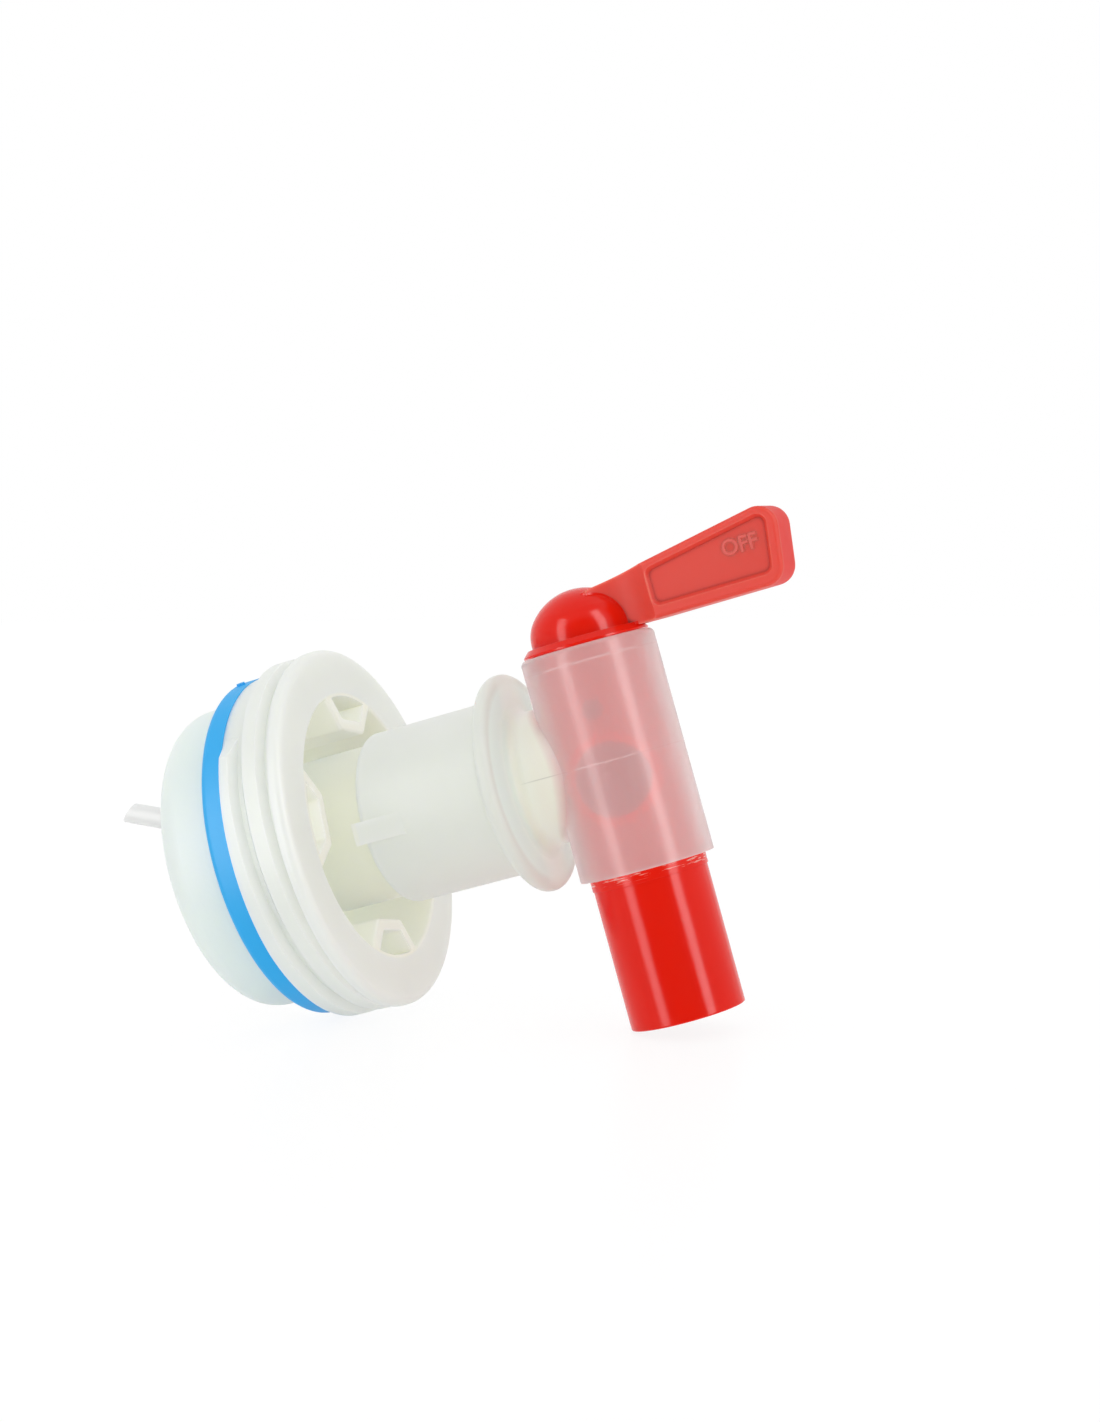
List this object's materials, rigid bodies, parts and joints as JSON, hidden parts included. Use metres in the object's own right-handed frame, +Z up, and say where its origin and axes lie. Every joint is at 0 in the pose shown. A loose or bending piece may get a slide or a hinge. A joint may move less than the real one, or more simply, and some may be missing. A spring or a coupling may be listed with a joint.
{
  "type": "jerrycan tap",
  "caption": "Plastic jerrycan tap: threaded closure plug with gasket and wrench lugs, a tap body screwed through it, a red rotary key with spout and lever, and an air tube.",
  "frame": {"origin": "on the plug's axis at the middle of its thread", "axes": "+X along the plug and tap out of the container, +Z up along the key towards the lever, +Y to the left of someone looking out along +X"},
  "size_m": [0.1247, 0.06, 0.074],
  "materials": {
    "plug_plastic": "moulded off-white polyethylene, soft sheen",
    "gasket_rubber": "smooth bright blue moulded seal",
    "body_plastic": "natural translucent polyethylene, waxy sheen",
    "tube_plastic": "natural soft tubing",
    "key_plastic": "glossy red moulding"
  },
  "bodies": {
    "plug_and_body": {"threaded_plug": "plug_plastic", "plug_gasket": "gasket_rubber", "tap_body": "body_plastic", "vent_tube": "tube_plastic"},
    "key": {"tap_key": "key_plastic"}
  },
  "joints": [
    {"name": "key_turn", "type": "hinge", "parent": "plug_and_body", "child": "key", "pos_m": [0.0512, 0, 0], "axis": [0, 0, 1], "continuous": true}
  ]
}
